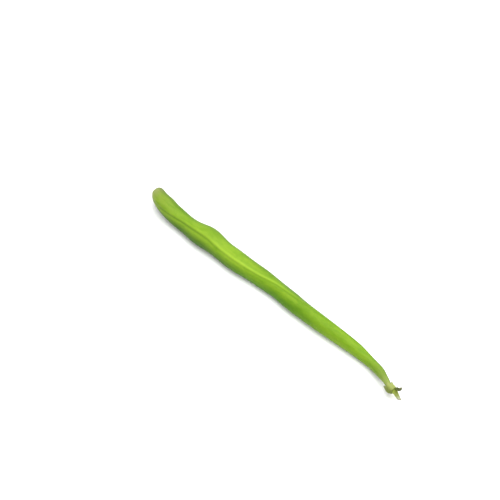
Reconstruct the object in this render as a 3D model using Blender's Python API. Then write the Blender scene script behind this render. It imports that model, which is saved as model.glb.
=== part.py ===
"""A green bean as it is picked, lying on a table.

The pod rests on a narrow flat of its belly. Its blossom end curls down into a thin beak. Its neck sits in
the calyx, the small green cup that the flower left, and behind the calyx come one bracteole, a curled scale
leaf, and the short stalk where the bean was pulled off the plant.

+X runs from the blossom end to the stalk, +Z is up, and the origin is on the table, under the middle of the
whole bean.
"""

import math

import bmesh
import bpy
from mathutils import Matrix, Vector

MM = 0.001

# The pod's middle line, from the tip of the beak to the end of the neck, in millimetres and degrees:
# along X, sideways Y, gap under the skin, width, and where the back seam lies round the pod, counted from
# +Y over the top. A gap below zero presses the belly flat on the table.
POD_STATIONS = (
    (-65.2, 4.6, 0.45, 0.5, 158),
    (-66.3, 4.8, 0.6, 0.7, 158),
    (-67.3, 4.6, 0.95, 0.85, 158),
    (-68.0, 4.1, 1.6, 1.1, 158),
    (-68.2, 3.4, 2.2, 1.7, 157),
    (-68.0, 2.7, 2.5, 2.9, 157),
    (-67.4, 1.9, 2.4, 4.4, 156),
    (-66.1, 0.8, 2.1, 5.8, 155),
    (-63.8, -0.2, 1.8, 6.7, 152),
    (-59.5, -0.9, 1.3, 7.5, 144),
    (-55.5, -1.1, 0.9, 7.1, 134),
    (-48.0, -0.9, 0.1, 7.3, 115),
    (-42.0, -0.7, -0.1, 8.1, 112),
    (-35.0, 0.3, -0.2, 9.0, 117),
    (-27.0, 0.4, -0.2, 8.0, 120),
    (-18.0, 0.9, -0.2, 8.0, 119),
    (-9.0, 2.1, -0.2, 7.1, 114),
    (0.0, 2.7, -0.2, 6.8, 93),
    (12.0, 2.7, -0.2, 6.7, 74),
    (28.0, 3.6, -0.2, 6.1, 55),
    (40.0, 4.4, 0.0, 5.1, 48),
    (48.0, 4.1, 0.5, 4.0, 45),
    (53.5, 3.1, 1.3, 3.8, 43),
    (57.0, 2.0, 2.1, 2.9, 42),
    (58.8, 1.4, 2.3, 2.5, 42),
    (60.5, 0.7, 2.3, 2.4, 42),
    (62.3, 0.0, 2.5, 2.1, 42),
)
POD_DEPTH = 0.93  # from seam to seam, as a share of the width
POD_RING_GAP = 1.7 * MM
POD_TIP_RING_GAP = 0.45 * MM  # in the beak and the rounded blossom end
POD_TIP_LENGTH = 9.0 * MM
POD_SIDES = 28
SIDES_TOWARDS_SEAMS = 0.22  # how far the sides crowd together at the two seams

# The seams stand out of the skin as low keels.
BACK_SEAM_HEIGHT = 0.42 * MM
BELLY_SEAM_HEIGHT = 0.25 * MM
SEAM_SPREAD = math.radians(24)
SEAM_CREST = math.radians(6)  # how far round the pod the keel's crest is rounded
FULL_RELIEF_WIDTH = 6.0 * MM  # where the pod is slimmer, the seams and seeds stand out less

# The seeds swell the pod's flanks a little.
SEED_COUNT = 7
FIRST_SEED_X = -54.0 * MM
SEED_PITCH = 15.5 * MM
SEED_LENGTH = 9.0 * MM
SEED_SWELL = 0.22 * MM

# The calyx is a cup round the neck, with teeth that reach along the pod. The rows of its outside are a
# height behind the rim and a radius, from the stalk to the rim, in millimetres.
CALYX_OUTSIDE = ((2.7, 0.80), (2.5, 1.2), (2.05, 1.55), (1.4, 1.76), (0.7, 1.82), (0.15, 1.78))
CALYX_SIDES = 40
CALYX_TEETH = 5
TOOTH_LENGTH = 1.1 * MM
TOOTH_FLARE = 0.02 * MM
TOOTH_SHARPNESS = 1.2
TOOTH_ROWS = 4
TOOTH_TIP_THICKNESS = 0.3 * MM
CALYX_WALL = 0.4 * MM
CALYX_LEAN = 0.08  # how much fuller the cup is on the side towards -Y
CALYX_TOP_LEAN = 0.35  # how much fuller still it is there, at its top
CALYX_TOP_SHIFT = 0.9 * MM  # how far its top, with the stalk, stands over to the side towards +Y
SOCKET_DEPTH = 2.0 * MM
SOCKET_MOUTH = 0.1 * MM  # from the rim's lip to where the socket's wall starts
SOCKET_MOUTH_WAVE = 0.4  # how far the wall's start follows the teeth
JOINT_GAP = 0.15 * MM  # between pieces that grew together

# The stalk leaves the calyx, bends down a little and ends in a slanting break.
STALK_WIDTH = 1.9 * MM  # at the calyx
STALK_TAPER = 0.35  # how much slimmer it is at the break
STALK_LENGTH = 3.8 * MM
STALK_HEADING = Vector((0.94, -0.33, -0.12))
STALK_BEND_SHARE = 0.65  # how much of its length it takes to turn there
STALK_RINGS = 12
STALK_SIDES = 18
STALK_RIBS = 6
RIB_HEIGHT = 0.05 * MM
BREAK_SLANT = 0.5 * MM
BREAK_SIDE = math.radians(57)
BREAK_SHARE = 0.25  # how much of its length the slant bends

# The bracteole grows on top of the calyx, near the stalk, heads away to the far side and hooks up.
BRACTEOLE_LENGTH = 4.3 * MM
BRACTEOLE_WIDTH = 2.1 * MM
BRACTEOLE_ENDS = 0.45  # how wide its root and its tip are, as a share of its width
BRACTEOLE_THICKNESS = 0.6 * MM
BRACTEOLE_CUP = 0.25 * MM  # how far its edges stand above its middle
BRACTEOLE_CURL = math.radians(140)
BRACTEOLE_LATE_CURL = 1.9  # 1 curls evenly, more curls it mostly near the tip
BRACTEOLE_BEHIND_RIM = 2.3 * MM
BRACTEOLE_OUT = 2.15 * MM  # from the calyx's middle line to its root
BRACTEOLE_ROUND = math.radians(57)  # where its root is, from the calyx's far side over the top
BRACTEOLE_ALONG_STALK = 4.5  # how much it heads along the stalk, against 1 outwards
BRACTEOLE_TILT = 0.3  # how far its curl leans outwards, against 1 up
BRACTEOLE_RINGS = 14
BRACTEOLE_SIDES = 12

POD_GREEN = (0.305, 0.485, 0.055, 1)
CALYX_GREEN = (0.42, 0.50, 0.16, 1)
STALK_GREEN = (0.46, 0.53, 0.22, 1)
BRACTEOLE_OLIVE = (0.13, 0.15, 0.045, 1)
SKIN_ROUGHNESS = 0.42
STALK_ROUGHNESS = 0.6


def clear_scene():
    for obj in list(bpy.data.objects):
        bpy.data.objects.remove(obj)


def plain_material(name, colour, roughness):
    material = bpy.data.materials.new(name)
    material.use_nodes = True
    shader = material.node_tree.nodes["Principled BSDF"]
    shader.inputs["Base Color"].default_value = colour
    shader.inputs["Roughness"].default_value = roughness
    shader.inputs["Metallic"].default_value = 0.0
    return material


def skinned(name, rings, material):
    """A closed mesh object through a row of rings with the same number of points, capped at both ends."""
    mesh = bmesh.new()
    rows = [[mesh.verts.new(point) for point in ring] for ring in rings]
    for row, following in zip(rows, rows[1:]):
        for i, corner in enumerate(row):
            before = i - 1
            mesh.faces.new((row[before], corner, following[i], following[before]))
    mesh.faces.new(rows[0][::-1])
    mesh.faces.new(rows[-1])
    bmesh.ops.recalc_face_normals(mesh, faces=mesh.faces)
    data = bpy.data.meshes.new(name)
    mesh.to_mesh(data)
    mesh.free()
    data.shade_smooth()
    data.materials.append(material)
    piece = bpy.data.objects.new(name, data)
    bpy.context.collection.objects.link(piece)
    return piece


def half_height(width, seam):
    """How far the oval section reaches below the middle line when its seam lies at that angle."""
    across = width / 2
    deep = across * POD_DEPTH
    return math.hypot(deep * math.sin(seam), across * math.cos(seam))


def pod_spine():
    """Rows of place, width and seam angle, one for each ring, on a smooth curve through the stations."""
    knots = []
    for x, y, gap, width, seam in POD_STATIONS:
        angle = math.radians(seam)
        middle = gap * MM + half_height(width * MM, angle)
        knots.append((x * MM, y * MM, middle, width * MM, angle))
    distances = [0.0]
    for knot, following in zip(knots, knots[1:]):
        distances.append(distances[-1] + (Vector(following[:3]) - Vector(knot[:3])).length)
    rows = []
    along = 0.0
    while along < distances[-1]:
        rows.append(smooth_row(knots, distances, along))
        along += POD_TIP_RING_GAP if along < POD_TIP_LENGTH else POD_RING_GAP
    if distances[-1] - (along - POD_RING_GAP) < POD_RING_GAP / 2:
        rows.pop()
    rows.append(knots[-1])
    return rows


def smooth_row(knots, distances, along):
    """One row read at that distance from a cubic between two knots, sloped by their neighbours."""
    last = len(knots) - 1
    i = max(k for k in range(last) if distances[k] <= along)
    span = distances[i + 1] - distances[i]
    t = (along - distances[i]) / span
    row = []
    for column in range(len(knots[0])):
        start, end = knots[i][column], knots[i + 1][column]
        slopes = []
        for k in (i, i + 1):
            low, high = max(k - 1, 0), min(k + 1, last)
            slopes.append((knots[high][column] - knots[low][column]) / (distances[high] - distances[low]))
        row.append(
            start * (1 + 2 * t) * (1 - t) ** 2
            + slopes[0] * span * t * (1 - t) ** 2
            + end * t * t * (3 - 2 * t)
            + slopes[1] * span * t * t * (t - 1)
        )
    return tuple(row)


def frames_along(points, widths):
    """A tangent, a side and an upright direction for each section, turned little from +Y and +Z.

    A section squares up to a stretch of the line as long as it is wide, so that wide sections don't cross
    where the line bends sharply.
    """
    last = len(points) - 1
    tangents = []
    for i, (point, width) in enumerate(zip(points, widths)):
        low, high = max(i - 1, 0), min(i + 1, last)
        while low > 0 and (points[low] - point).length < width / 2:
            low -= 1
        while high < last and (points[high] - point).length < width / 2:
            high += 1
        tangents.append((points[high] - points[low]).normalized())
    middle = last // 2
    sides = [None] * (last + 1)
    for order in (range(middle, last + 1), range(middle, -1, -1)):
        side = Vector((0, 1, 0))
        for i in order:
            side = (side - side.dot(tangents[i]) * tangents[i]).normalized()
            sides[i] = side
    return [(tangent, side, tangent.cross(side)) for tangent, side in zip(tangents, sides)]


def seam_relief(turn, height):
    """The keel's height above the skin at that angle from the seam."""
    turn = (turn + math.pi) % math.tau - math.pi
    return height * math.exp((SEAM_CREST - math.hypot(turn, SEAM_CREST)) / SEAM_SPREAD)


def seed_relief(x):
    """How much the nearest seed swells the flanks here."""
    seeds = (FIRST_SEED_X + n * SEED_PITCH for n in range(SEED_COUNT))
    return SEED_SWELL * sum(math.exp(-(((x - seed) / (SEED_LENGTH / 2)) ** 2)) for seed in seeds)


def pod_ring(row, frame):
    """The points of one section of the pod, from its back seam round to its back seam."""
    place, width, seam = Vector(row[:3]), row[3], row[4]
    _, side, upright = frame
    across, deep = width / 2, width / 2 * POD_DEPTH
    relief = min(1.0, width / FULL_RELIEF_WIDTH) ** 2
    ring = []
    for i in range(POD_SIDES):
        turn = math.tau * i / POD_SIDES
        turn -= SIDES_TOWARDS_SEAMS * math.sin(2 * turn)
        oval = across * deep / math.hypot(deep * math.sin(turn), across * math.cos(turn))
        ridges = seam_relief(turn, BACK_SEAM_HEIGHT) + seam_relief(turn - math.pi, BELLY_SEAM_HEIGHT)
        seeds = seed_relief(place.x) * math.sin(turn) ** 2
        radius = oval + relief * (ridges + seeds)
        point = place + radius * (math.cos(seam + turn) * side + math.sin(seam + turn) * upright)
        point.z = max(point.z, 0.0)  # the belly lies flat on the table
        ring.append(point)
    return ring


def make_pod(material):
    rows = pod_spine()
    frames = frames_along([Vector(row[:3]) for row in rows], [row[3] for row in rows])
    pod = skinned("pod", [pod_ring(row, frame) for row, frame in zip(rows, frames)], material)
    return pod, Vector(rows[-1][:3]), frames[-1]


def make_calyx(material, place):
    """The cup, drawn round +Z with its teeth pointing down, and moved onto the neck by the matrix."""
    angles = [math.tau * i / CALYX_SIDES for i in range(CALYX_SIDES)]
    teeth = [(0.5 + 0.5 * math.cos(CALYX_TEETH * angle)) ** TOOTH_SHARPNESS for angle in angles]

    def ring(height, radius, out=0.0, lean=0.0):
        """One row of the cup, that far out along the teeth and with that share of the lean."""
        up = height / (CALYX_OUTSIDE[0][0] * MM)
        over = lean * CALYX_TOP_SHIFT * up**2
        fuller = lean * (CALYX_LEAN + CALYX_TOP_LEAN * up**2)
        points = []
        for angle, tooth in zip(angles, teeth):
            reach = radius * (1 + fuller * max(0.0, math.cos(angle))) + out * tooth * TOOTH_FLARE
            along = height - out * tooth * TOOTH_LENGTH
            points.append(place @ Vector((reach * math.cos(angle) - over, reach * math.sin(angle), along)))
        return points

    rings = [ring(height * MM, radius * MM, lean=1.0) for height, radius in CALYX_OUTSIDE]
    rim = CALYX_OUTSIDE[-1][1] * MM
    for row in range(1, TOOTH_ROWS + 1):
        out = row / TOOTH_ROWS
        rings.append(ring(0.0, rim, out=out, lean=1 - out))
    socket = rim - CALYX_WALL
    rings.append(ring(0.0, rim - TOOTH_TIP_THICKNESS, out=1.0))
    rings.append(ring(SOCKET_MOUTH, socket, out=SOCKET_MOUTH_WAVE))
    rings.append(ring(SOCKET_DEPTH / 2, socket))
    rings.append(ring(SOCKET_DEPTH, socket - JOINT_GAP))
    return skinned("calyx", rings, material)


def make_stalk(material, start, heading):
    """A ribbed stem that turns from the calyx's heading to its own and ends torn off at a slant."""
    step = STALK_LENGTH / (STALK_RINGS - 1)
    points, place = [], start.copy()
    for i in range(STALK_RINGS):
        points.append(place.copy())
        turned = min(1.0, i / STALK_RINGS / STALK_BEND_SHARE)
        place += step * heading.lerp(STALK_HEADING, turned).normalized()
    frames = frames_along(points, [STALK_WIDTH] * STALK_RINGS)
    rings = []
    for i, (point, (tangent, side, upright)) in enumerate(zip(points, frames)):
        share = i / (STALK_RINGS - 1)
        radius = STALK_WIDTH / 2 * (1 - STALK_TAPER * share)
        torn = max(0.0, 1 - (1 - share) / BREAK_SHARE)
        ring = []
        for k in range(STALK_SIDES):
            turn = math.tau * k / STALK_SIDES
            reach = radius + RIB_HEIGHT * math.cos(STALK_RIBS * turn)
            slant = BREAK_SLANT * torn * math.sin(turn + BREAK_SIDE)
            outwards = math.cos(turn) * side + math.sin(turn) * upright
            ring.append(point + reach * outwards + slant * tangent)
        rings.append(ring)
    return skinned("stalk", rings, material)


def make_bracteole(material, place):
    """A small cupped leaf, drawn along +X and curling towards +Z, and moved by the matrix."""
    step = BRACTEOLE_LENGTH / (BRACTEOLE_RINGS - 1)
    middle = Vector()
    rings = []
    for i in range(BRACTEOLE_RINGS):
        share = i / (BRACTEOLE_RINGS - 1)
        turned = BRACTEOLE_CURL * share**BRACTEOLE_LATE_CURL
        face = Vector((-math.sin(turned), 0, math.cos(turned)))
        widening = BRACTEOLE_ENDS + (1 - BRACTEOLE_ENDS) * math.sin(math.pi * share)
        ring = []
        for k in range(BRACTEOLE_SIDES):
            turn = math.tau * k / BRACTEOLE_SIDES
            sideways = BRACTEOLE_WIDTH / 2 * widening * math.cos(turn)
            rise = BRACTEOLE_THICKNESS / 2 * math.sin(turn) + BRACTEOLE_CUP * math.cos(turn) ** 2
            ring.append(place @ (middle + Vector((0, sideways, 0)) + rise * face))
        rings.append(ring)
        middle = middle + step * Vector((math.cos(turned), 0, math.sin(turned)))
    return skinned("bracteole", rings, material)


def placed(origin, own_x, own_y, own_z):
    """The matrix that moves a piece drawn round the origin to its place and turns its axes to those."""
    matrix = Matrix((own_x, own_y, own_z)).transposed().to_4x4()
    matrix.translation = origin
    return matrix


def centre_on_table(pieces):
    """Moves every vertex, so that the origin is on the table under the middle of the whole bean."""
    corners = [vertex.co for piece in pieces for vertex in piece.data.vertices]
    low = Vector([min(corner[axis] for corner in corners) for axis in range(3)])
    high = Vector([max(corner[axis] for corner in corners) for axis in range(3)])
    shift = Vector(((low.x + high.x) / 2, (low.y + high.y) / 2, low.z))
    for piece in pieces:
        piece.data.transform(Matrix.Translation(-shift))


def main():
    clear_scene()
    pod_skin = plain_material("pod_skin", POD_GREEN, SKIN_ROUGHNESS)
    calyx_skin = plain_material("calyx_skin", CALYX_GREEN, STALK_ROUGHNESS)
    stalk_skin = plain_material("stalk_skin", STALK_GREEN, STALK_ROUGHNESS)
    bracteole_skin = plain_material("bracteole_skin", BRACTEOLE_OLIVE, STALK_ROUGHNESS)

    pod, neck_end, (heading, side, upright) = make_pod(pod_skin)
    rim = neck_end - (SOCKET_DEPTH - JOINT_GAP) * heading
    calyx = make_calyx(calyx_skin, placed(rim, -side, -upright, heading))

    cup_height = CALYX_OUTSIDE[0][0] * MM
    stalk_start = rim + (cup_height + JOINT_GAP) * heading + CALYX_TOP_SHIFT * side
    stalk = make_stalk(stalk_skin, stalk_start, heading)

    leaf_heading = (BRACTEOLE_ALONG_STALK * heading + side).normalized()
    leaf_across = (upright + BRACTEOLE_TILT * side).cross(leaf_heading).normalized()
    outwards = math.cos(BRACTEOLE_ROUND) * side + math.sin(BRACTEOLE_ROUND) * upright
    leaf_root = rim + BRACTEOLE_BEHIND_RIM * heading + BRACTEOLE_OUT * outwards
    leaf_place = placed(leaf_root, leaf_heading, leaf_across, leaf_heading.cross(leaf_across))
    bracteole = make_bracteole(bracteole_skin, leaf_place)

    centre_on_table([pod, calyx, stalk, bracteole])


main()
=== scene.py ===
"""The green bean's looks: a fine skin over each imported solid, its colours and sheen, and a plain studio."""

import math

import bpy
from mathutils import Matrix, Vector, noise


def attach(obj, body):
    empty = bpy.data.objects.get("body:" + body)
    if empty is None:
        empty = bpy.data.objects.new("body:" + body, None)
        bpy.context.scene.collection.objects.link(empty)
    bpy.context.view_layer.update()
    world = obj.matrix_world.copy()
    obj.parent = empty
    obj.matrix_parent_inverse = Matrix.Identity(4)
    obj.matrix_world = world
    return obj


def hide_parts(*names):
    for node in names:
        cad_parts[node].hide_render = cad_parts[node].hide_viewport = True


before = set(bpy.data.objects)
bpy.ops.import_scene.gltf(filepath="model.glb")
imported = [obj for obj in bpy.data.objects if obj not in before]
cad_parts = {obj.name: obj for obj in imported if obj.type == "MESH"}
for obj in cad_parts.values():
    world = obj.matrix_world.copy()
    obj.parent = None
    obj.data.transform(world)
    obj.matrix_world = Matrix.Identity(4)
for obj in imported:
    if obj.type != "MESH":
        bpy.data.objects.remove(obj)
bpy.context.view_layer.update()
MM = 0.001

# The pod is the bean's one long green fruit. Its two walls meet in a back seam and a belly seam, it swells
# over each seed, and it narrows to a neck at one end and to a dried, curled beak at the other. Its skin is
# swept along the pod's middle line, and the seams and the seeds are raised from it by a formula.

# From the tip of the beak to the end of the neck, in millimetres and degrees: along X, sideways Y, gap under
# the skin, width, and where the back seam lies round the pod, counted from +Y over the top.
POD_STATIONS = (
    (-65.2, 4.6, 0.45, 0.5, 158),
    (-66.3, 4.8, 0.6, 0.7, 158),
    (-67.3, 4.6, 0.95, 0.85, 158),
    (-68.0, 4.1, 1.6, 1.1, 158),
    (-68.2, 3.4, 2.2, 1.7, 157),
    (-68.0, 2.7, 2.5, 2.9, 157),
    (-67.4, 1.9, 2.4, 4.4, 156),
    (-66.1, 0.8, 2.1, 5.8, 155),
    (-63.8, -0.2, 1.8, 6.7, 152),
    (-59.5, -0.9, 1.3, 7.5, 144),
    (-55.5, -1.1, 0.9, 7.1, 134),
    (-48.0, -0.9, 0.1, 7.3, 115),
    (-42.0, -0.7, -0.1, 8.1, 112),
    (-35.0, 0.3, -0.2, 9.0, 117),
    (-27.0, 0.4, -0.2, 8.0, 120),
    (-18.0, 0.9, -0.2, 8.0, 119),
    (-9.0, 2.1, -0.2, 7.1, 114),
    (0.0, 2.7, -0.2, 6.8, 93),
    (12.0, 2.7, -0.2, 6.7, 74),
    (28.0, 3.6, -0.2, 6.1, 55),
    (40.0, 4.4, 0.0, 5.1, 48),
    (48.0, 4.1, 0.5, 4.0, 45),
    (53.5, 3.1, 1.3, 3.8, 43),
    (57.0, 2.0, 2.1, 2.9, 42),
    (58.8, 1.4, 2.3, 2.5, 42),
    (60.5, 0.7, 2.3, 2.4, 42),
    (62.3, 0.0, 2.5, 2.1, 42),
)
STATIONS_TO_TABLE = Vector((0.8, -1.1, 0)) * MM  # from the stations' own origin to the part's
POD_DEPTH = 0.93  # from seam to seam, as a share of the width
LINE_STEP = 0.15 * MM
GROOVE_TURN = math.radians(12)  # from the back seam's crest round to its crease
LEAST_ROUNDING = 0.02  # keeps the last ring of a rounded end from closing up

# Swells and dents in the skin, first slow ones, then short faint ones: how quickly they follow each other
# along the pod (per metre) and round it, and how strong they are.
SWELLS = (
    ((90.0, 1.0, 1.0), 1.6),
    ((260.0, 4.0, 4.0), 0.4),
)


def half_height(width, seam):
    """How far the oval section reaches below the middle line when its seam lies at that angle."""
    across = width / 2
    deep = across * POD_DEPTH
    return math.hypot(deep * math.sin(seam), across * math.cos(seam))


def smooth_row(knots, distances, along):
    """One row read at that distance from a cubic between two knots, sloped by their neighbours."""
    last = len(knots) - 1
    i = max(k for k in range(last) if distances[k] <= along)
    span = distances[i + 1] - distances[i]
    t = (along - distances[i]) / span
    row = []
    for column in range(len(knots[0])):
        start, end = knots[i][column], knots[i + 1][column]
        slopes = []
        for k in (i, i + 1):
            low, high = max(k - 1, 0), min(k + 1, last)
            slopes.append((knots[high][column] - knots[low][column]) / (distances[high] - distances[low]))
        row.append(
            start * (1 + 2 * t) * (1 - t) ** 2
            + slopes[0] * span * t * (1 - t) ** 2
            + end * t * t * (3 - 2 * t)
            + slopes[1] * span * t * t * (t - 1)
        )
    return row


def smooth_rows(knots, step, measured=3):
    """Rows a step apart on a smooth curve through the knots, whose first columns are the measured ones."""
    distances = [0.0]
    for knot, following in zip(knots, knots[1:]):
        distances.append(distances[-1] + math.dist(knot[:measured], following[:measured]))
    count = round(distances[-1] / step)
    rows = [smooth_row(knots, distances, distances[-1] * i / count) for i in range(count)]
    rows.append(list(knots[-1]))
    return rows


def line_mesh(name, places, **columns):
    """A chain of edges through those places, with a named number at each one."""
    line = bpy.data.meshes.new(name)
    line.from_pydata(places, [(i, i + 1) for i in range(len(places) - 1)], [])
    for column, values in columns.items():
        line.attributes.new(column, "FLOAT", "POINT").data.foreach_set("value", values)
    return line


pod_knots = []
for x, y, gap, width, seam in POD_STATIONS:
    height = gap * MM + half_height(width * MM, math.radians(seam))
    pod_knots.append((x * MM, y * MM, height, width * MM, math.radians(seam)))
pod_rows = smooth_rows(pod_knots, LINE_STEP)
pod_places = [Vector(row[:3]) + STATIONS_TO_TABLE for row in pod_rows]
pod_line = line_mesh(
    "pod_line",
    pod_places,
    half_width=[row[3] / 2 for row in pod_rows],
    seam=[row[4] for row in pod_rows],
)


def add(tree, kind, inputs=None, **settings):
    """A new node with those settings, and its inputs, by name or number, linked or set."""
    node = tree.nodes.new(kind)
    for name, value in settings.items():
        setattr(node, name, value)
    for key, value in (inputs or {}).items():
        if isinstance(value, bpy.types.NodeSocket):
            tree.links.new(value, node.inputs[key])
        else:
            node.inputs[key].default_value = value
    return node


def calc(tree, operation, *values):
    """The result of a sum, a root and so on, done with those values."""
    return add(tree, "ShaderNodeMath", dict(enumerate(values)), operation=operation).outputs[0]


def product(tree, first, *others):
    """All those values multiplied."""
    for other in others:
        first = calc(tree, "MULTIPLY", first, other)
    return first


def hypotenuse(tree, first, second):
    """The long side of a right triangle with those short sides."""
    return calc(tree, "SQRT", calc(tree, "MULTIPLY_ADD", first, first, product(tree, second, second)))


def vector_calc(tree, operation, *values):
    """The result of a sum, a product and so on, done with those vectors."""
    node = add(tree, "ShaderNodeVectorMath", dict(enumerate(values)), operation=operation)
    return node.outputs["Value" if operation in ("DOT_PRODUCT", "DISTANCE") else "Vector"]


def scaled(tree, vector, factor):
    """The vector, longer or shorter by that factor."""
    node = add(tree, "ShaderNodeVectorMath", {"Vector": vector, "Scale": factor}, operation="SCALE")
    return node.outputs["Vector"]


def xyz(tree, x, y, z):
    """A vector of those three numbers."""
    return add(tree, "ShaderNodeCombineXYZ", {"X": x, "Y": y, "Z": z}).outputs["Vector"]


def split(tree, vector):
    """The vector's three numbers."""
    return add(tree, "ShaderNodeSeparateXYZ", {"Vector": vector}).outputs


def bell(tree, value, middle, reach):
    """1 where the value is at the middle, falling to about a third at the reach from it."""
    off = calc(tree, "DIVIDE", calc(tree, "SUBTRACT", value, middle), reach)
    return calc(tree, "EXPONENT", product(tree, off, off, -1.0))


def eased(tree, value, start, end, most=1.0):
    """0 at the start and the most at the end, with a soft way between."""
    inputs = {"Value": value, "From Min": start, "From Max": end, "To Max": most}
    return add(tree, "ShaderNodeMapRange", inputs, interpolation_type="SMOOTHSTEP").outputs["Result"]


def grain(tree, vector, stretch, detail):
    """Noise from 0 to 1 on that vector, stretched by one number or by three."""
    if not isinstance(stretch, tuple):
        stretch = (stretch,) * 3
    inputs = {"Vector": vector_calc(tree, "MULTIPLY", vector, stretch), "Scale": 1.0, "Detail": detail}
    return add(tree, "ShaderNodeTexNoise", inputs).outputs[0]


def new_tree(name, inputs, outputs):
    """An empty Geometry Nodes tree, with its inner ends of the named inputs and outputs."""
    tree = bpy.data.node_groups.new(name, "GeometryNodeTree")
    for sockets, in_out in ((inputs, "INPUT"), (outputs, "OUTPUT")):
        for label, kind in sockets.items():
            tree.interface.new_socket(label, in_out=in_out, socket_type=f"NodeSocket{kind}")
    return tree, tree.nodes.new("NodeGroupInput").outputs, tree.nodes.new("NodeGroupOutput").inputs


def grow(name, tree, guide, **sizes):
    """A plain mesh object, made by the tree from the guide mesh and those inputs."""
    maker = bpy.data.objects.new(name, guide)
    bpy.context.collection.objects.link(maker)
    modifier = maker.modifiers.new("grow", "NODES")
    modifier.node_group = tree
    sockets = {socket.name: socket.identifier for socket in tree.interface.items_tree}
    for label, value in sizes.items():
        modifier[sockets[label.replace("_", " ").capitalize()]] = value
    depsgraph = bpy.context.evaluated_depsgraph_get()
    grown = bpy.data.meshes.new_from_object(
        maker.evaluated_get(depsgraph), preserve_all_data_layers=True, depsgraph=depsgraph
    )
    grown.name = name
    maker.modifiers.remove(modifier)
    maker.data = grown
    bpy.data.meshes.remove(guide)
    return maker


# The frame of a section: where the line is at a distance along it, and the directions across it there.
# A section squares up to a stretch of the line as long as it is wide, so sections don't cross in sharp bends.
section_tree, given, result = new_tree(
    "section_on_line",
    {"Line": "Geometry", "Along": "Float"},
    {"Place": "Vector", "Tangent": "Vector", "Side": "Vector", "Upright": "Vector", "Half width": "Float"},
)


def on_line(tree, line, along, column=None):
    """The line's place at that distance, or its named number there."""
    inputs = {"Curves": line, "Length": along}
    if column is None:
        return add(tree, "GeometryNodeSampleCurve", inputs, mode="LENGTH").outputs["Position"]
    inputs["Value"] = add(tree, "GeometryNodeInputNamedAttribute", {"Name": column}).outputs["Attribute"]
    return add(tree, "GeometryNodeSampleCurve", inputs, mode="LENGTH").outputs["Value"]


half_width = on_line(section_tree, given["Line"], given["Along"], "half_width")
behind = on_line(section_tree, given["Line"], calc(section_tree, "SUBTRACT", given["Along"], half_width))
ahead = on_line(section_tree, given["Line"], calc(section_tree, "ADD", given["Along"], half_width))
tangent = vector_calc(section_tree, "NORMALIZE", vector_calc(section_tree, "SUBTRACT", ahead, behind))
skywards = (0.0, 0.0, 1.0)
climb = scaled(section_tree, tangent, vector_calc(section_tree, "DOT_PRODUCT", tangent, skywards))
upright = vector_calc(section_tree, "NORMALIZE", vector_calc(section_tree, "SUBTRACT", skywards, climb))
for label, socket in (
    ("Place", on_line(section_tree, given["Line"], given["Along"])),
    ("Tangent", tangent),
    ("Side", vector_calc(section_tree, "CROSS_PRODUCT", upright, tangent)),
    ("Upright", upright),
    ("Half width", half_width),
):
    section_tree.links.new(socket, result[label])


def tube_for_line(tree, given, cap_rings):
    """The line as a curve, its length, and a tube to lay along it. For the tube's points it gives their own
    place, how far along the line they belong, how far from its middle as a share, and the turn round it."""
    line = add(tree, "GeometryNodeMeshToCurve", {"Mesh": given["Line"]}).outputs["Curve"]
    length = add(tree, "GeometryNodeCurveLength", {"Curve": line}).outputs["Length"]
    inputs = {
        "Vertices": given["Sides"],
        "Side Segments": given["Rings"],
        "Fill Segments": cap_rings,
        "Radius": 1.0,
        "Depth": 1.0,
    }
    tube = add(tree, "GeometryNodeMeshCylinder", inputs, fill_type="TRIANGLE_FAN").outputs["Mesh"]
    own_place = add(tree, "GeometryNodeInputPosition").outputs[0]
    x, y, z = split(tree, own_place)
    along = calc(tree, "MULTIPLY", calc(tree, "ADD", z, 0.5), length)
    return line, length, tube, own_place, along, hypotenuse(tree, x, y), calc(tree, "ARCTAN2", y, x)


def out_of_line(tree, section, angle):
    """The direction out of the line at that angle, counted from the section's side over its top."""
    return vector_calc(
        tree,
        "ADD",
        scaled(tree, section["Side"], calc(tree, "COSINE", angle)),
        scaled(tree, section["Upright"], calc(tree, "SINE", angle)),
    )


def lay_skin(tree, given, result, tube, point, label, numbers):
    """The tree's end: the tube's points go to their places, keep those three numbers, and get the finish."""
    inputs = {"Geometry": tube, "Name": label, "Value": numbers}
    marked = add(tree, "GeometryNodeStoreNamedAttribute", inputs, data_type="FLOAT_VECTOR")
    moved = add(tree, "GeometryNodeSetPosition", {"Geometry": marked.outputs[0], "Position": point})
    smooth = add(tree, "GeometryNodeSetShadeSmooth", {"Geometry": moved.outputs[0]})
    real = add(tree, "GeometryNodeRealizeInstances", {"Geometry": smooth.outputs[0]})
    dressed = add(tree, "GeometryNodeSetMaterial", {"Geometry": real.outputs[0], "Material": given["Skin"]})
    tree.links.new(dressed.outputs[0], result["Skin"])


pod_tree, given, result = new_tree(
    "pod_skin",
    {
        "Line": "Geometry",
        "Rings": "Int",
        "Sides": "Int",
        "Sides towards seams": "Float",
        "Depth": "Float",
        "Back seam height": "Float",
        "Belly seam height": "Float",
        "Seam spread": "Float",
        "Seam crest": "Float",
        "Groove depth": "Float",
        "Groove width": "Float",
        "Groove turn": "Float",
        "Full relief half width": "Float",
        "First seed": "Float",
        "Seed pitch": "Float",
        "Last seed number": "Float",
        "Seed reach": "Float",
        "Seed swell": "Float",
        "Tip rounding": "Float",
        "Unevenness": "Float",
        "Skin": "Material",
    },
    {"Skin": "Geometry"},
)
line, length, tube, own_place, along, from_middle, turn = tube_for_line(pod_tree, given, cap_rings=2)
crowding = calc(pod_tree, "SINE", calc(pod_tree, "MULTIPLY", turn, 2.0))
turn = calc(pod_tree, "SUBTRACT", turn, product(pod_tree, given["Sides towards seams"], crowding))
cosine = calc(pod_tree, "COSINE", turn)
sine = calc(pod_tree, "SINE", turn)

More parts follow.
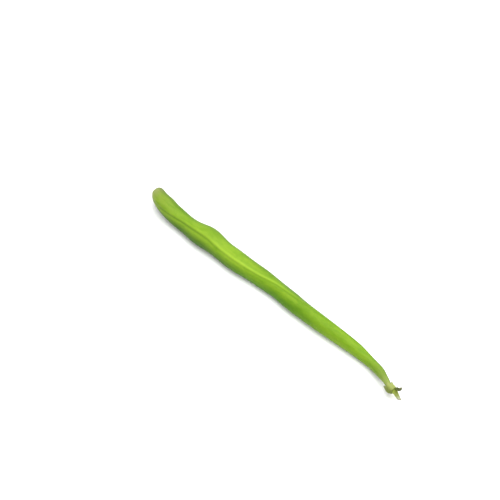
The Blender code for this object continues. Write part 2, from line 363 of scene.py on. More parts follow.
section = add(pod_tree, "GeometryNodeGroup", {"Line": line, "Along": along}, node_tree=section_tree).outputs
half_width = section["Half width"]
squeezed = hypotenuse(pod_tree, product(pod_tree, sine, given["Depth"]), cosine)
oval = calc(pod_tree, "DIVIDE", product(pod_tree, half_width, given["Depth"]), squeezed)


def keel(turned, height):
    """How far a seam stands out of the skin at that angle from it."""
    crest = given["Seam crest"]
    rounded = hypotenuse(pod_tree, turned, crest)
    fall = calc(pod_tree, "DIVIDE", calc(pod_tree, "SUBTRACT", crest, rounded), given["Seam spread"])
    return product(pod_tree, height, calc(pod_tree, "EXPONENT", fall))


from_back = calc(pod_tree, "ABSOLUTE", turn)
from_belly = calc(pod_tree, "SUBTRACT", math.pi, from_back)
back_keel = keel(from_back, given["Back seam height"])
belly_keel = keel(from_belly, given["Belly seam height"])
seams = calc(pod_tree, "ADD", back_keel, belly_keel)
groove = bell(pod_tree, turn, given["Groove turn"], given["Groove width"])
groove = product(pod_tree, given["Groove depth"], groove)

place_x = split(pod_tree, section["Place"])["X"]
seed_place = calc(pod_tree, "SUBTRACT", place_x, given["First seed"])
seed_place = calc(pod_tree, "DIVIDE", seed_place, given["Seed pitch"])
seed_number = calc(pod_tree, "MAXIMUM", calc(pod_tree, "ROUND", seed_place), 0.0)
seed_number = calc(pod_tree, "MINIMUM", seed_number, given["Last seed number"])
from_seed = product(pod_tree, calc(pod_tree, "SUBTRACT", seed_place, seed_number), given["Seed pitch"])
seeds = bell(pod_tree, from_seed, 0.0, given["Seed reach"])
seeds = product(pod_tree, given["Seed swell"], seeds, sine, sine)

full = calc(pod_tree, "DIVIDE", half_width, given["Full relief half width"])
full = calc(pod_tree, "MINIMUM", full, 1.0)
relief = calc(pod_tree, "SUBTRACT", calc(pod_tree, "ADD", seams, seeds), groove)
relief = product(pod_tree, relief, full, full)
skin_place = xyz(pod_tree, along, cosine, sine)
for stretch, strength in SWELLS:
    lump = calc(pod_tree, "SUBTRACT", grain(pod_tree, skin_place, stretch, 1.0), 0.5)
    lump = product(pod_tree, lump, strength, full, given["Unevenness"])
    relief = calc(pod_tree, "ADD", relief, lump)

into_tip = calc(pod_tree, "SUBTRACT", 1.0, calc(pod_tree, "DIVIDE", along, given["Tip rounding"]))
into_tip = calc(pod_tree, "MAXIMUM", into_tip, 0.0)
rounding = calc(pod_tree, "SUBTRACT", 1.0, product(pod_tree, into_tip, into_tip))
rounding = calc(pod_tree, "SQRT", calc(pod_tree, "MAXIMUM", rounding, LEAST_ROUNDING))
reach = product(pod_tree, calc(pod_tree, "ADD", oval, relief), rounding, from_middle)
angle = calc(pod_tree, "ADD", on_line(pod_tree, line, along, "seam"), turn)
outwards = scaled(pod_tree, out_of_line(pod_tree, section, angle), reach)
point = vector_calc(pod_tree, "ADD", section["Place"], outwards)
point = vector_calc(pod_tree, "MAXIMUM", point, (-1.0, -1.0, 0.0))  # the belly lies flat on the table
lay_skin(pod_tree, given, result, tube, point, "pod_place", skin_place)


def new_finish(name, roughness, **constants):
    """A material, its tree, and its shader with the numbers that are the same all over it."""
    finish = bpy.data.materials.new(name)
    finish.use_nodes = True
    shader = finish.node_tree.nodes["Principled BSDF"]
    shader.inputs["Roughness"].default_value = roughness
    for label, value in constants.items():
        shader.inputs[label.replace("_", " ")].default_value = value
    return finish, finish.node_tree, shader.inputs


def ramp(tree, factor, stops):
    """Colours that blend into each other along the factor, each stop a place and a colour."""
    node = add(tree, "ShaderNodeValToRGB", {"Fac": factor})
    elements = node.color_ramp.elements
    elements[0].position, elements[1].position = stops[0][0], stops[-1][0]
    elements[0].color, elements[1].color = (*stops[0][1], 1), (*stops[-1][1], 1)
    for place, colour in stops[1:-1]:
        elements.new(place).color = (*colour, 1)
    return node.outputs["Color"]


def painted(tree, colour, amount, paint_colour):
    """The colour with that amount of another one over it."""
    inputs = {0: amount, 6: colour, 7: (*paint_colour, 1)}
    return add(tree, "ShaderNodeMix", inputs, data_type="RGBA").outputs[2]


def tinted(tree, colour, amount, tint):
    """The colour, deeper by that amount of the tint."""
    inputs = {0: amount, 6: colour, 7: (*tint, 1)}
    return add(tree, "ShaderNodeMix", inputs, data_type="RGBA", blend_type="MULTIPLY").outputs[2]


def bumped(tree, height, strength, depth, before=None):
    """A bump of that strength and depth, on top of the one before it."""
    inputs = {"Strength": strength, "Distance": depth, "Height": height}
    if before is not None:
        inputs["Normal"] = before
    return add(tree, "ShaderNodeBump", inputs).outputs[0]


def coat(tree, shader, colour, relief):
    """Gives the shader its colour and its bumps."""
    tree.links.new(colour, shader["Base Color"])
    tree.links.new(relief, shader["Normal"])


# The skin's greens from the beak, where it has dried brown, to the pale end of the neck, each at a share of
# the pod's length.
POD_COLOURS = (
    (0.0, (0.06, 0.036, 0.014)),
    (0.018, (0.095, 0.073, 0.022)),
    (0.04, (0.16, 0.17, 0.05)),
    (0.065, (0.205, 0.24, 0.065)),
    (0.09, (0.175, 0.255, 0.026)),
    (0.16, (0.165, 0.275, 0.015)),
    (0.36, (0.195, 0.315, 0.016)),
    (0.6, (0.17, 0.285, 0.010)),
    (0.86, (0.185, 0.305, 0.012)),
    (0.925, (0.165, 0.255, 0.02)),
    (0.955, (0.175, 0.24, 0.038)),
    (0.975, (0.25, 0.30, 0.08)),
    (1.0, (0.28, 0.33, 0.10)),
)
# Patterns of deeper green: how quickly each changes along the pod (per metre) and round it, its detail, the
# noise at which it starts and is full, its strength and its tint. The last are the fibres along the pod.
SKIN_PATTERNS = (
    ((130.0, 1.6, 1.6), 3.0, 0.4, 0.68, 1.0, (0.80, 0.88, 0.62)),
    ((420.0, 5.0, 5.0), 2.0, 0.48, 0.7, 1.0, (0.86, 0.93, 0.7)),
    ((70.0, 13.0, 13.0), 3.0, 0.4, 0.7, 0.5, (0.86, 0.93, 0.8)),
)
FIBRE_BUMP = (0.35, 0.05 * MM)  # strength and depth
SKIN_CELLS = (3000.0, 12.0, 12.0)
CELL_BUMP = (0.2, 0.02 * MM)

# Painted shade: one flank is painted a deeper green, less of it in the stalk's half and more near the blossom
# end.
# Turns are in radians from the back seam, and places are shares of the length.
SHADE_TURNS = (0.1, 1.5)
SHADE_TINT = (0.38, 0.57, 0.2)
STALK_HALF = (0.55, 0.8)
SHADE_LOST_THERE = 0.75
BLOSSOM_HALF = (0.46, 0.36)
BLOSSOM_SHADE_TURNS = (0.4, 1.0)
BLOSSOM_SHADE = 0.6
BLOSSOM_SHADE_TINT = (0.45, 0.48, 0.3)

# Painted shade on the other flank: it goes deeper green past a line that comes round to the back seam near
# the
# stalk, and deeper still towards its edge: each is a place, and how much of its whole way the line has come
# round there.
FAR_LINE = (
    (0.10, 0.0),
    (0.185, 0.30),
    (0.283, 0.31),
    (0.38, 0.12),
    (0.448, 0.25),
    (0.53, 0.43),
    (0.635, 0.80),
    (0.74, 0.78),
    (0.84, 0.92),
)
FAR_LINE_WAY = 1.6
FAR_SHADE_TURNS = (0.9, 0.2)
FAR_SHADE = 0.4
FAR_SHADE_TINT = (0.6, 0.7, 0.4)
FAR_STRONGEST = (0.56, 0.12)  # its place and its reach
EDGE_SHADE_TURNS = (0.5, 0.0)
EDGE_SHADE = 0.8
EDGE_SHADE_TINT = (0.62, 0.68, 0.5)

# The back seam's crest is paler, with a painted highlight on it, most of all over the middle, and a dark
# crease runs beside it, the seam's darker line with painted shade in its groove, darkest near the blossom
# end. The belly seam is paler too.
CREST_WIDTH = 0.14
CREST_STRONGEST = (0.42, 0.16)
CREST_STRENGTH = 0.8
CREST_HIGHLIGHT_GREEN = (0.27, 0.42, 0.03)
CREASE_WIDTH = 0.1
CREASE_STRONGEST = (0.2, 0.12)
CREASE_STRENGTHS = (0.15, 0.5)  # everywhere, and more where it is strongest
CREASE_SHADE_GREEN = (0.06, 0.13, 0.006)
BELLY_WIDTH = 0.05
BELLY_STRENGTH = 0.5
BELLY_GREEN = (0.21, 0.32, 0.04)

pod_skin, paint, shader = new_finish(
    "pod_skin",
    0.46,
    Specular_IOR_Level=0.12,
    Subsurface_Weight=0.12,
    Subsurface_Radius=(0.6, 1.0, 0.25),
    Subsurface_Scale=1.2 * MM,
)
pod_length = sum((b - a).length for a, b in zip(pod_places, pod_places[1:]))
skin_place = add(paint, "ShaderNodeAttribute", attribute_name="pod_place").outputs["Vector"]
along, cosine, sine = split(paint, skin_place)
share = calc(paint, "DIVIDE", along, pod_length)
colour = ramp(paint, share, POD_COLOURS)
for stretch, detail, start, end, strength, tint in SKIN_PATTERNS:
    fibres = grain(paint, skin_place, stretch, detail)
    colour = tinted(paint, colour, eased(paint, fibres, start, end, strength), tint)

turn = calc(paint, "ARCTAN2", sine, cosine)
# Painted shade on one flank, deeper green, less of it towards the stalk.
kept_shade = calc(paint, "SUBTRACT", 1.0, eased(paint, share, *STALK_HALF, SHADE_LOST_THERE))
shade = product(paint, eased(paint, turn, *SHADE_TURNS), kept_shade)
colour = tinted(paint, colour, shade, SHADE_TINT)
# More painted shade on that flank near the blossom end.
shade = eased(paint, turn, *BLOSSOM_SHADE_TURNS, BLOSSOM_SHADE)
shade = product(paint, shade, eased(paint, share, *BLOSSOM_HALF))
colour = tinted(paint, colour, shade, BLOSSOM_SHADE_TINT)

# Painted shade on the far flank past that line, and more painted shade further past it towards the edge.
come_round = ramp(paint, share, [(place, (way, way, way)) for place, way in FAR_LINE])
far_line = calc(paint, "MULTIPLY_ADD", come_round, FAR_LINE_WAY, -FAR_LINE_WAY)
past_line = calc(paint, "SUBTRACT", turn, far_line)
strength = calc(paint, "MULTIPLY_ADD", bell(paint, share, *FAR_STRONGEST), FAR_SHADE, FAR_SHADE)
shade = product(paint, eased(paint, past_line, *FAR_SHADE_TURNS), strength)
colour = tinted(paint, colour, shade, FAR_SHADE_TINT)
colour = tinted(paint, colour, eased(paint, past_line, *EDGE_SHADE_TURNS, EDGE_SHADE), EDGE_SHADE_TINT)

# A painted highlight on the back seam's paler crest, strongest over the middle.
crest = bell(paint, turn, 0.0, CREST_WIDTH)
crest = product(paint, crest, bell(paint, share, *CREST_STRONGEST), CREST_STRENGTH)
colour = painted(paint, colour, crest, CREST_HIGHLIGHT_GREEN)
# The crease: the seam's darker line and painted shade in its groove, strongest near the blossom end.
everywhere, more = CREASE_STRENGTHS
strength = calc(paint, "MULTIPLY_ADD", bell(paint, share, *CREASE_STRONGEST), more, everywhere)
crease = product(paint, bell(paint, turn, GROOVE_TURN, CREASE_WIDTH), strength)
colour = painted(paint, colour, crease, CREASE_SHADE_GREEN)
belly = bell(paint, calc(paint, "ABSOLUTE", turn), math.pi, BELLY_WIDTH)
colour = painted(paint, colour, product(paint, belly, BELLY_STRENGTH), BELLY_GREEN)

relief = bumped(paint, fibres, *FIBRE_BUMP)
relief = bumped(paint, grain(paint, skin_place, SKIN_CELLS, 1.0), *CELL_BUMP, before=relief)
coat(paint, shader, colour, relief)

pod = grow(
    "pod_skin",
    pod_tree,
    pod_line,
    Rings=440,
    Sides=96,
    Sides_towards_seams=0.22,
    Depth=POD_DEPTH,
    Back_seam_height=0.42 * MM,
    Belly_seam_height=0.25 * MM,
    Seam_spread=math.radians(24),
    Seam_crest=math.radians(6),
    Groove_depth=0.14 * MM,
    Groove_width=math.radians(6),
    Groove_turn=GROOVE_TURN,
    Full_relief_half_width=3.0 * MM,
    First_seed=-53.2 * MM,
    Seed_pitch=15.5 * MM,
    Last_seed_number=6.0,
    Seed_reach=4.5 * MM,
    Seed_swell=0.22 * MM,
    Tip_rounding=0.3 * MM,
    Unevenness=0.12 * MM,
    Skin=pod_skin,
)
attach(pod, "root")
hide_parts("pod")

# The calyx is the small green cup that the flower left round the neck, with five short teeth along the pod.
# It is thicker and drier than the pod, faintly ribbed, browned at the tips of its teeth, and it grew in one
# piece with what is inside it. It is drawn round +Z with its teeth down and moved onto the neck.

# Its outside is a height behind the rim and a radius, from the stalk to the rim, in millimetres.
CALYX_OUTSIDE = (
    (2.75, 0.62),
    (2.7, 0.80),
    (2.5, 1.2),
    (2.05, 1.55),
    (1.4, 1.76),
    (0.7, 1.82),
    (0.15, 1.78),
)
CALYX_HEIGHT = 2.7 * MM
CALYX_SIDES = 160
CALYX_ROW_GAP = 0.1 * MM
CALYX_TEETH = 5
TOOTH_LENGTH = 1.1 * MM
TOOTH_FLARE = 0.02 * MM
TOOTH_SHARPNESS = 1.2
TOOTH_ROWS = 12
TOOTH_TIP_THICKNESS = 0.2 * MM
CALYX_LEAN = 0.08  # how much fuller the cup is on one side
CALYX_TOP_LEAN = 0.35  # how much fuller still it is there, at its top
CALYX_TOP_SHIFT = 0.9 * MM  # how far its top, with the stalk, stands over to the other side
CALYX_RIBS = 10
CALYX_RIB_HEIGHT = 0.035 * MM
CALYX_LUMPS = 0.09 * MM
CALYX_LUMP_SIZE = 0.8 * MM
SOCKET_RADIUS = 1.2 * MM  # it closes on the neck
SOCKET_DEPTH = 2.0 * MM
JOINT_GAP = 0.15 * MM
NECK_STRETCH = 1.9 * MM  # the last of the neck, whose direction the cup takes

# Painted shade: one side of it, away from the lamp, is painted a dark olive, and it has a deeper green
# painted shadow where the stalk leaves it.
CUP_SHADE_FROM_SIDE = (0.0, 0.87, 0.5)
CUP_SHADE_WAY = 1.8 * MM
CUP_SHADE_OLIVE = (0.12, 0.15, 0.02)
CUP_GREEN = (0.225, 0.265, 0.06)
BLOTCHES_PER_METRE = 900.0
BLOTCH_REACH = 2.0 * MM
STALK_FOOT_SHADOW_REACH = (1.9 * MM, 0.9 * MM)
STALK_FOOT_SHADOW_GREEN = (0.11, 0.15, 0.005)
BROWN_TIPS = (0.6, 1.0, 0.35)  # where along the teeth it starts and is full, and its strength
TIP_BROWN = (0.13, 0.10, 0.035)
WRINKLES_PER_METRE = 3500.0
WRINKLE_BUMP = (0.5, 0.06 * MM)

neck_end = pod_places[-1]
heading = (neck_end - pod_places[-1 - round(NECK_STRETCH / LINE_STEP)]).normalized()
neck_up = (Vector((0, 0, 1)) - heading.z * heading).normalized()
neck_side = neck_up.cross(heading)
rim = neck_end - (SOCKET_DEPTH - JOINT_GAP) * heading


def placed(origin, own_x, own_y, own_z):
    """The matrix that moves a piece drawn round the origin to its place and turns its axes to those."""
    matrix = Matrix((own_x, own_y, own_z)).transposed().to_4x4()
    matrix.translation = origin
    return matrix


def skinned(name, rings, finish, **columns):
    """A closed smooth mesh object through rings of as many points, with a named number for each ring."""
    sides = len(rings[0])
    faces = []
    for row in range(len(rings) - 1):
        low, high = row * sides, (row + 1) * sides
        for i in range(sides):
            before = (i - 1) % sides
            faces.append((low + before, low + i, high + i, high + before))
    faces.append(tuple(reversed(range(sides))))
    faces.append(tuple(range((len(rings) - 1) * sides, len(rings) * sides)))
    data = bpy.data.meshes.new(name)
    data.from_pydata([point for ring in rings for point in ring], [], faces)
    for column, values in columns.items():
        numbers = [value for value in values for i in range(sides)]
        data.attributes.new(column, "FLOAT", "POINT").data.foreach_set("value", numbers)
    data.shade_smooth()
    data.materials.append(finish)
    piece = bpy.data.objects.new(name, data)
    bpy.context.collection.objects.link(piece)
    return piece


calyx_place = placed(rim, -neck_side, -neck_up, heading)
calyx_angles = [math.tau * i / CALYX_SIDES for i in range(CALYX_SIDES)]


def calyx_ring(height, radius, out=0.0, lean=0.0, roughened=1.0):
    """One row of the cup, that far out along the teeth and with that share of the lean and the lumps."""
    up = min(1.0, height / CALYX_HEIGHT)
    over = lean * CALYX_TOP_SHIFT * up**2
    fuller = lean * (CALYX_LEAN + CALYX_TOP_LEAN * up**2)
    points = []
    for angle in calyx_angles:
        cosine, sine = math.cos(angle), math.sin(angle)
        tooth = out * (0.5 + 0.5 * math.cos(CALYX_TEETH * angle)) ** TOOTH_SHARPNESS
        reach = radius * (1 + fuller * max(0.0, cosine)) + tooth * TOOTH_FLARE
        reach += roughened * CALYX_RIB_HEIGHT * math.cos(CALYX_RIBS * angle)
        own = Vector((reach * cosine - over, reach * sine, height - tooth * TOOTH_LENGTH))
        lump = roughened * CALYX_LUMPS * noise.noise(own / CALYX_LUMP_SIZE)
        points.append(calyx_place @ (own + lump * own.normalized()))
    return points


calyx_rings = []
towards_tips = []
calyx_knots = [(height * MM, radius * MM) for height, radius in CALYX_OUTSIDE]
for height, radius in smooth_rows(calyx_knots, CALYX_ROW_GAP, measured=2):
    calyx_rings.append(calyx_ring(height, radius, lean=1.0))
    towards_tips.append(0.0)
rim_radius = calyx_knots[-1][1]
for row in range(1, TOOTH_ROWS + 1):
    out = row / TOOTH_ROWS
    calyx_rings.append(calyx_ring(0.0, rim_radius, out=out, lean=1 - out))
    towards_tips.append(out)
for row in range(TOOTH_ROWS, -1, -1):
    out = row / TOOTH_ROWS
    inside = SOCKET_RADIUS + (rim_radius - TOOTH_TIP_THICKNESS - SOCKET_RADIUS) * out
    calyx_rings.append(calyx_ring(0.0, inside, out=out, roughened=0.0))
    towards_tips.append(out)
calyx_rings.append(calyx_ring(SOCKET_DEPTH, SOCKET_RADIUS, roughened=0.0))
towards_tips.append(0.0)

calyx_skin, paint, shader = new_finish("calyx_skin", 0.6, Specular_IOR_Level=0.25, Sheen_Weight=0.05)
spot = add(paint, "ShaderNodeTexCoord").outputs["Object"]
# Painted shade: dark olive on the cup's side away from the lamp, with a blotchy edge.
blotches = calc(paint, "SUBTRACT", grain(paint, spot, BLOTCHES_PER_METRE, 3.0), 0.5)
from_side = vector_calc(paint, "DOT_PRODUCT", spot, CUP_SHADE_FROM_SIDE)
from_side = calc(paint, "MULTIPLY_ADD", blotches, BLOTCH_REACH, from_side)
colour = painted(paint, (*CUP_SHADE_OLIVE, 1), eased(paint, from_side, 0.0, CUP_SHADE_WAY), CUP_GREEN)
# A deeper green painted shadow round the foot of the stalk.
cup_top = rim + CALYX_HEIGHT * heading + CALYX_TOP_SHIFT * neck_side
from_stalk = vector_calc(paint, "DISTANCE", spot, cup_top)
colour = painted(paint, colour, eased(paint, from_stalk, *STALK_FOOT_SHADOW_REACH), STALK_FOOT_SHADOW_GREEN)
towards_tip = add(paint, "ShaderNodeAttribute", attribute_name="towards_tip").outputs["Fac"]
colour = painted(paint, colour, eased(paint, towards_tip, *BROWN_TIPS), TIP_BROWN)
coat(paint, shader, colour, bumped(paint, grain(paint, spot, WRINKLES_PER_METRE, 3.0), *WRINKLE_BUMP))

calyx = skinned("calyx_cup", calyx_rings, calyx_skin, towards_tip=towards_tips)
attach(calyx, "root")
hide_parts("calyx")

# The stalk is the short green stem that the bean hung by. It swells where it joins the calyx, has six low
# ribs, bends down a little and ends where it was torn off the plant, with pale fibres in the break. It is
# swept along its own line, and noise pushes its torn end out and in.
STALK_WIDTH = 1.9 * MM  # at the calyx
STALK_TAPER = 0.35  # how much slimmer it is at the break
STALK_LENGTH = 3.8 * MM
STALK_HEADING = Vector((0.94, -0.33, -0.12))
STALK_BEND_SHARE = 0.65
STALK_STEPS = 48
STALK_ROOT = 0.3 * MM  # how far it is rooted in the calyx
ROOT_SWELL = 0.15 * MM
ROOT_SWELL_REACH = 0.45 * MM
TORN_FIBRES = (5.0, 5.0, 1.5)  # how quickly they change across the break and along it
LEVEL_FIBRE = 0.62  # the noise of a fibre that ends level with the break
STALK_COLOURS = (
    (0.0, (0.22, 0.29, 0.02)),
    (0.3, (0.22, 0.275, 0.03)),
    (0.6, (0.22, 0.26, 0.06)),
    (0.85, (0.29, 0.31, 0.19)),
    (1.0, (0.33, 0.32, 0.24)),
)
BETWEEN_RIBS = (0.2, -0.8, 0.3)  # the height on a rib where it starts and is full, and its strength
BETWEEN_RIBS_GREEN = (0.24, 0.30, 0.07)
STREAK_STRETCH = (500.0, 3500.0, 3500.0)
STREAKS = (0.5, 0.7, 0.45)  # the noise at which they start and are full, and their strength
STREAK_BROWN = (0.17, 0.15, 0.05)
STREAK_BUMP = (0.5, 0.05 * MM)

stalk_start = rim + (CALYX_HEIGHT + JOINT_GAP) * heading + CALYX_TOP_SHIFT * neck_side
stalk_places = [stalk_start - STALK_ROOT * heading]
stalk_widths = [STALK_WIDTH + 2 * ROOT_SWELL]
place = stalk_start.copy()
for i in range(STALK_STEPS):
    share = i / (STALK_STEPS - 1)
    swell = 2 * ROOT_SWELL * math.exp(-((share * STALK_LENGTH / ROOT_SWELL_REACH) ** 2))
    stalk_places.append(place.copy())
    stalk_widths.append(STALK_WIDTH * (1 - STALK_TAPER * share) + swell)
    turned = min(1.0, share / STALK_BEND_SHARE)
    place += STALK_LENGTH / (STALK_STEPS - 1) * heading.lerp(STALK_HEADING, turned).normalized()
stalk_line = line_mesh("stalk_line", stalk_places, half_width=[width / 2 for width in stalk_widths])

stalk_tree, given, result = new_tree(
    "stalk_skin",
    {
        "Line": "Geometry",
        "Rings": "Int",
        "Sides": "Int",
        "Ribs": "Float",
        "Rib height": "Float",
        "Break side": "Float",
        "Break slant": "Float",
        "Break reach": "Float",
        "Torn depth": "Float",
        "Skin": "Material",
    },
    {"Skin": "Geometry"},
)
line, length, tube, own_place, along, from_middle, turn = tube_for_line(stalk_tree, given, cap_rings=10)
section = add(stalk_tree, "GeometryNodeGroup", {"Line": line, "Along": along}, node_tree=section_tree).outputs
rib = calc(stalk_tree, "COSINE", product(stalk_tree, turn, given["Ribs"]))
reach = calc(stalk_tree, "MULTIPLY_ADD", rib, given["Rib height"], section["Half width"])
outwards = scaled(stalk_tree, out_of_line(stalk_tree, section, turn), product(stalk_tree, reach, from_middle))
# Near its end the skin runs out at a slant, and the break itself is a field of fibres of unequal length.
torn = eased(stalk_tree, calc(stalk_tree, "SUBTRACT", length, along), given["Break reach"], 0.0)
slant = calc(stalk_tree, "SINE", calc(stalk_tree, "ADD", turn, given["Break side"]))
slant = product(stalk_tree, slant, given["Break slant"], from_middle)
fibres = calc(stalk_tree, "SUBTRACT", grain(stalk_tree, own_place, TORN_FIBRES, 3.0), LEVEL_FIBRE)
fibres = product(stalk_tree, fibres, given["Torn depth"])
onwards = product(stalk_tree, calc(stalk_tree, "ADD", slant, fibres), torn)
point = vector_calc(stalk_tree, "ADD", section["Place"], outwards)
point = vector_calc(stalk_tree, "ADD", point, scaled(stalk_tree, section["Tangent"], onwards))
skin_place = xyz(stalk_tree, calc(stalk_tree, "DIVIDE", along, length), rib, from_middle)
lay_skin(stalk_tree, given, result, tube, point, "stalk_place", skin_place)

stalk_skin, paint, shader = new_finish("stalk_skin", 0.6, Specular_IOR_Level=0.25, Sheen_Weight=0.05)
skin_place = add(paint, "ShaderNodeAttribute", attribute_name="stalk_place").outputs["Vector"]
share, rib, from_middle = split(paint, skin_place)
colour = ramp(paint, share, STALK_COLOURS)
colour = painted(paint, colour, eased(paint, rib, *BETWEEN_RIBS), BETWEEN_RIBS_GREEN)
spot = add(paint, "ShaderNodeTexCoord").outputs["Object"]
streaks = grain(paint, spot, STREAK_STRETCH, 3.0)
colour = painted(paint, colour, eased(paint, streaks, *STREAKS), STREAK_BROWN)
coat(paint, shader, colour, bumped(paint, streaks, *STREAK_BUMP))

stalk = grow(
    "stalk_stem",
    stalk_tree,
    stalk_line,
    Rings=90,
    Sides=72,
    Ribs=6.0,
    Rib_height=0.05 * MM,
    Break_side=math.radians(57),
    Break_slant=0.5 * MM,
    Break_reach=1.1 * MM,
    Torn_depth=0.9 * MM,
    Skin=stalk_skin,
)
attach(stalk, "root")
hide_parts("stalk")

# The bracteole is a scale leaf on top of the calyx, near the stalk: thin, cupped round its midrib and veined
# lengthwise. It has dried to a dark olive, and its tip hooks up. It is drawn along +X, curling towards +Z.
BRACTEOLE_LENGTH = 4.3 * MM
BRACTEOLE_WIDTH = 2.1 * MM
BRACTEOLE_ENDS = 0.45  # its ends' width, as a share of the middle's
BRACTEOLE_MIDDLE_THICKNESS = 0.55 * MM
BRACTEOLE_EDGE_THICKNESS = 0.16 * MM
MIDRIB_SHARPNESS = 1.5
BRACTEOLE_CUP = 0.3 * MM  # how far its edges stand up
BRACTEOLE_CURL = math.radians(140)
BRACTEOLE_LATE_CURL = 1.9  # 1 would curl it evenly, and more keeps the curl for its tip
BRACTEOLE_BEHIND_RIM = 2.3 * MM
BRACTEOLE_OUT = 2.15 * MM
BRACTEOLE_ROUND = math.radians(57)
BRACTEOLE_ALONG_STALK = 4.5  # how much more it points along the stalk than to the side
BRACTEOLE_TILT = 0.3
BRACTEOLE_RINGS = 70
BRACTEOLE_SIDES = 64
ROOT_SHARE = 0.14  # how much of its length is the root that reaches down to the calyx
ROOT_DROP = 0.45 * MM
TIP_SHARE = 0.12  # how much of its length rounds off to the tip
VEINS = 7
VEIN_HEIGHT = 0.02 * MM
BRACTEOLE_COLOURS = (
    (0.0, (0.10, 0.13, 0.015)),
    (0.15, (0.045, 0.062, 0.006)),
    (0.6, (0.038, 0.052, 0.006)),
    (0.85, (0.08, 0.09, 0.03)),
    (1.0, (0.17, 0.17, 0.10)),
)
PATCHES_PER_METRE = 1800.0
PATCHES = (0.45, 0.65, 0.35)
PATCH_OLIVE = (0.10, 0.10, 0.03)
PATCH_BUMP = (0.5, 0.04 * MM)

leaf_heading = (BRACTEOLE_ALONG_STALK * heading + neck_side).normalized()
leaf_across = (neck_up + BRACTEOLE_TILT * neck_side).cross(leaf_heading).normalized()
outwards = math.cos(BRACTEOLE_ROUND) * neck_side + math.sin(BRACTEOLE_ROUND) * neck_up
leaf_root = rim + BRACTEOLE_BEHIND_RIM * heading + BRACTEOLE_OUT * outwards
leaf_place = placed(leaf_root, leaf_heading, leaf_across, leaf_heading.cross(leaf_across))

leaf_rings = []
leaf_shares = []
middle = Vector()
for row in range(BRACTEOLE_RINGS):
    share = row / (BRACTEOLE_RINGS - 1)
    turned = BRACTEOLE_CURL * share**BRACTEOLE_LATE_CURL
    face = Vector((-math.sin(turned), 0, math.cos(turned)))
    widening = BRACTEOLE_ENDS + (1 - BRACTEOLE_ENDS) * math.sin(math.pi * share)
    tip = max(0.0, 1 - (1 - share) / TIP_SHARE)
    widening *= math.sqrt(max(LEAST_ROUNDING, 1 - tip**2))
    rooted = max(0.0, 1 - share / ROOT_SHARE) ** 2
    ring = []
    for i in range(BRACTEOLE_SIDES):
        turn = math.tau * i / BRACTEOLE_SIDES
        across = math.cos(turn)
        sideways = BRACTEOLE_WIDTH / 2 * widening * across
        thickness = BRACTEOLE_EDGE_THICKNESS
        thickness += (BRACTEOLE_MIDDLE_THICKNESS - thickness) * (1 - across**2) ** MIDRIB_SHARPNESS
        vein = VEIN_HEIGHT * math.cos(math.pi * VEINS * across) * (1 - across**2)
        rise = (thickness / 2 * math.sqrt(widening) + vein) * math.sin(turn) + BRACTEOLE_CUP * across**2
        own = middle + Vector((0, sideways, 0)) + rise * face - Vector((0, 0, ROOT_DROP * rooted))
        ring.append(leaf_place @ own)
    leaf_rings.append(ring)
    leaf_shares.append(share)
    onwards = Vector((math.cos(turned), 0, math.sin(turned)))
    middle = middle + BRACTEOLE_LENGTH / (BRACTEOLE_RINGS - 1) * onwards

bracteole_skin, paint, shader = new_finish(
    "bracteole_skin",
    0.65,
    Specular_IOR_Level=0.15,
    Sheen_Weight=0.05,
)
share = add(paint, "ShaderNodeAttribute", attribute_name="share").outputs["Fac"]
colour = ramp(paint, share, BRACTEOLE_COLOURS)
spot = add(paint, "ShaderNodeTexCoord").outputs["Object"]
patches = grain(paint, spot, PATCHES_PER_METRE, 3.0)
colour = painted(paint, colour, eased(paint, patches, *PATCHES), PATCH_OLIVE)
coat(paint, shader, colour, bumped(paint, patches, *PATCH_BUMP))

bracteole = skinned("bracteole_leaf", leaf_rings, bracteole_skin, share=leaf_shares)
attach(bracteole, "root")
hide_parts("bracteole")

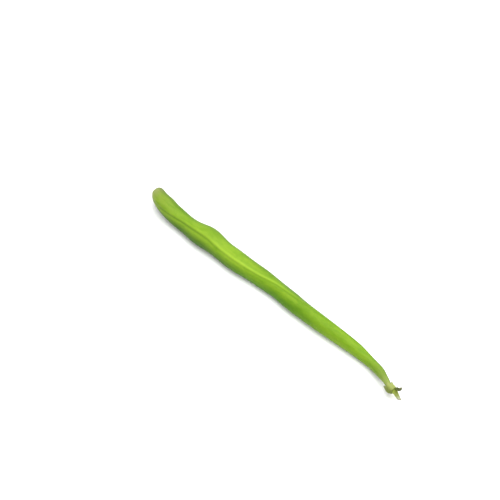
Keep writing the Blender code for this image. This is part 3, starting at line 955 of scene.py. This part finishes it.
# The studio is a plain pale floor that the bean lies on, walls as pale as the floor, which light it softly
# from all sides, a large soft lamp above it, and the camera.
FLOOR_HALF = 4.0
FLOOR_GREY = (0.85, 0.85, 0.85)
WALL_BRIGHTNESS = 1.2
LAMP_PLACE = (0.05, 0.2, 0.85)
LAMP_SIZE = 1.0
LAMP_POWER = 10
CAMERA_AZIMUTH = math.radians(46.66)
CAMERA_ELEVATION = math.radians(50)
CAMERA_DISTANCE = 0.6
CAMERA_AIM = Vector((-22.43, 9.2, 0)) * MM
CAMERA_LENS = 110  # for a sensor 36 wide
CAMERA_SENSOR = 36

floor_mesh = bpy.data.meshes.new("floor")
corners = [(x * FLOOR_HALF, y * FLOOR_HALF, 0) for x, y in ((-1, -1), (1, -1), (1, 1), (-1, 1))]
floor_mesh.from_pydata(corners, [], [(0, 1, 2, 3)])
floor = bpy.data.objects.new("floor", floor_mesh)
bpy.context.collection.objects.link(floor)
floor_finish, paint, shader = new_finish("floor_finish", 0.7)
shader["Base Color"].default_value = (*FLOOR_GREY, 1)
floor_mesh.materials.append(floor_finish)

world = bpy.data.worlds.new("studio")
world.use_nodes = True
walls = world.node_tree.nodes["Background"].inputs
walls["Color"].default_value = (1, 1, 1, 1)
walls["Strength"].default_value = WALL_BRIGHTNESS
bpy.context.scene.world = world

lamp = bpy.data.lights.new("key", "AREA")
lamp.size = LAMP_SIZE
lamp.energy = LAMP_POWER
light = bpy.data.objects.new("key", lamp)
light.location = LAMP_PLACE
light.rotation_euler = (-Vector(LAMP_PLACE)).to_track_quat("-Z", "Y").to_euler()
bpy.context.collection.objects.link(light)

away = Vector(
    (
        math.sin(CAMERA_AZIMUTH) * math.cos(CAMERA_ELEVATION),
        -math.cos(CAMERA_AZIMUTH) * math.cos(CAMERA_ELEVATION),
        math.sin(CAMERA_ELEVATION),
    )
)
camera = bpy.data.objects.new("camera", bpy.data.cameras.new("camera"))
camera.data.lens = CAMERA_LENS
camera.data.sensor_width = CAMERA_SENSOR
camera.data.clip_start = 0.01
camera.location = CAMERA_AIM + away * CAMERA_DISTANCE
camera.rotation_euler = (-away).to_track_quat("-Z", "Y").to_euler()
bpy.context.collection.objects.link(camera)
bpy.context.scene.camera = camera
bpy.context.scene.view_settings.view_transform = "Standard"
